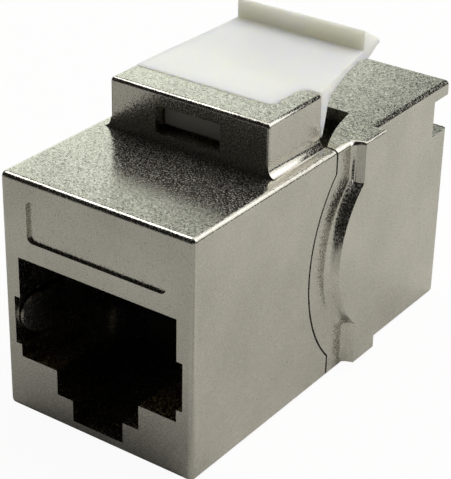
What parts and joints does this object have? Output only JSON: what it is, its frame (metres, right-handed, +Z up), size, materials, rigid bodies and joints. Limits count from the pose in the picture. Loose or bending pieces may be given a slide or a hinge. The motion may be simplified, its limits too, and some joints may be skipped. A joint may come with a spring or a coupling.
{
  "type": "keystone coupler",
  "caption": "Shielded keystone coupler: two modular jacks back to back in a die-cast two-piece shell with a sprung plastic latch lever for a panel opening.",
  "frame": {"origin": "bottom centre of the whole part's box, on the face it rests on", "axes": "+Y from the front port to the rear port, +X to the right seen from the front, +Z up to the latch lever"},
  "size_m": [0.0162, 0.0292, 0.0219],
  "materials": {
    "nickel": "satin nickel plate on a die casting",
    "white_plastic": "moulded, satin",
    "black_plastic": "moulded, matt",
    "gold": "gold plated",
    "spring_steel": "bright sheet metal",
    "board": "solder resist"
  },
  "bodies": {
    "coupler": {"front_housing": "nickel", "rear_housing": "nickel", "circuit_board": "board", "front_contact_block": "black_plastic", "front_shield_spring_left": "spring_steel", "front_shield_spring_right": "spring_steel", "front_contact_1": "gold", "front_contact_2": "gold", "front_contact_3": "gold", "front_contact_4": "gold", "front_contact_5": "gold", "front_contact_6": "gold", "front_contact_7": "gold", "front_contact_8": "gold", "rear_contact_block": "black_plastic", "rear_shield_spring_left": "spring_steel", "rear_shield_spring_right": "spring_steel", "rear_contact_1": "gold", "rear_contact_2": "gold", "rear_contact_3": "gold", "rear_contact_4": "gold", "rear_contact_5": "gold", "rear_contact_6": "gold", "rear_contact_7": "gold", "rear_contact_8": "gold"},
    "latch": {"latch_lever": "white_plastic"}
  },
  "joints": [
    {"name": "latch_press", "type": "hinge", "parent": "coupler", "child": "latch", "pos_m": [0, -0.00428, 0.01805], "axis": [-1, 0, 0], "range_deg": [0, 7], "stiffness_Nm_per_rad": 0.2}
  ]
}
